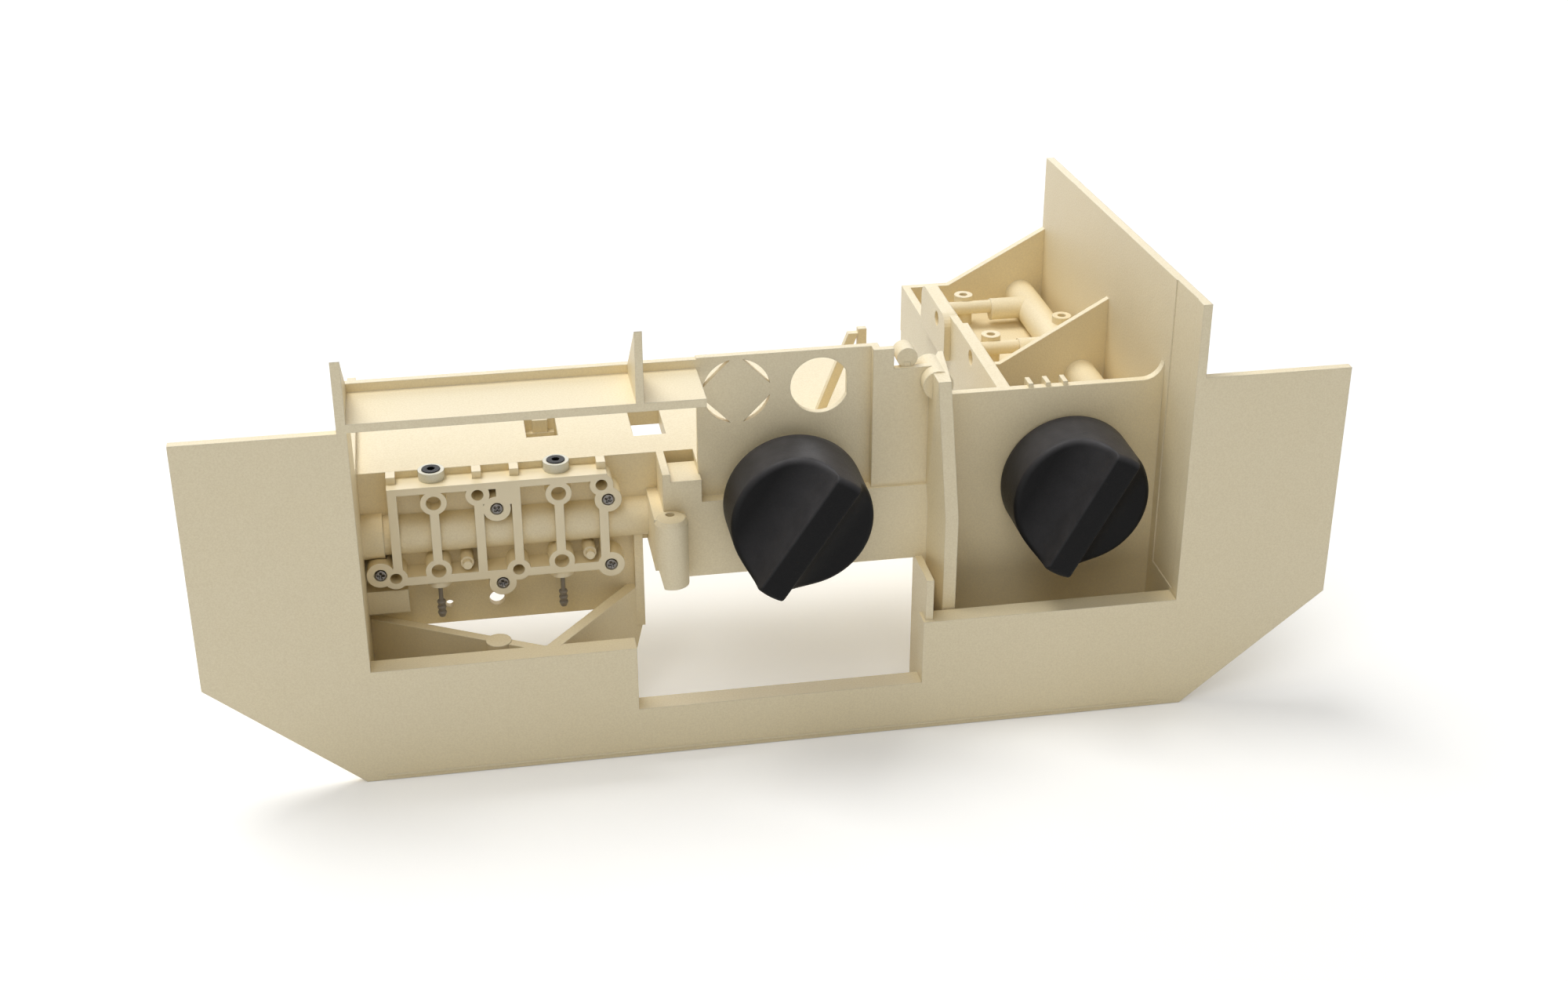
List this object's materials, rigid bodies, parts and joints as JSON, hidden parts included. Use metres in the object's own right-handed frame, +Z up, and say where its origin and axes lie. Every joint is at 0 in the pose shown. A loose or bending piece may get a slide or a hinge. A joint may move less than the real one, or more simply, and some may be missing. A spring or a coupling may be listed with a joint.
{
  "type": "connection block carrier",
  "caption": "Moulded front carrier with side walls, shelf, a bay that holds a screwed-on connection block with sealed ports and hose barbs, and turning control knobs.",
  "frame": {"origin": "bottom centre of the bounding box", "axes": "+X across the front to the right, +Y into the depth, away from the front face, +Z up"},
  "size_m": [0.376, 0.188, 0.153],
  "materials": {
    "carrier_plastic": "fine grained moulded surface",
    "block_plastic": "smooth moulded surface",
    "screw_steel": "darkened steel",
    "bush_plastic": "smooth",
    "seal_rubber": "moulded rubber",
    "barb_plastic": "smooth",
    "knob_plastic": "fine spark-eroded grain",
    "spindle_steel": "turned steel"
  },
  "bodies": {
    "carrier_body": {"carrier": "carrier_plastic", "connection_block": "block_plastic", "block_screws": "screw_steel", "left_port_bush": "bush_plastic", "right_port_bush": "bush_plastic", "left_port_seal": "seal_rubber", "right_port_seal": "seal_rubber", "left_hose_barb": "barb_plastic", "right_hose_barb": "barb_plastic", "mid_washer": "spindle_steel", "right_washer": "spindle_steel"},
    "mid_control": {"mid_knob": "knob_plastic", "mid_spindle": "spindle_steel", "mid_retaining_ring": "screw_steel"},
    "right_control": {"right_knob": "knob_plastic", "right_spindle": "spindle_steel", "right_retaining_ring": "screw_steel"}
  },
  "joints": [
    {"name": "mid_knob_turn", "type": "hinge", "parent": "carrier_body", "child": "mid_control", "pos_m": [0.006, -0.06315, 0.0821], "axis": [0, 1, 0], "range_deg": [0, 270]},
    {"name": "right_knob_turn", "type": "hinge", "parent": "carrier_body", "child": "right_control", "pos_m": [0.1031, -0.05265, 0.0762], "axis": [0, 1, 0], "range_deg": [0, 270]}
  ]
}
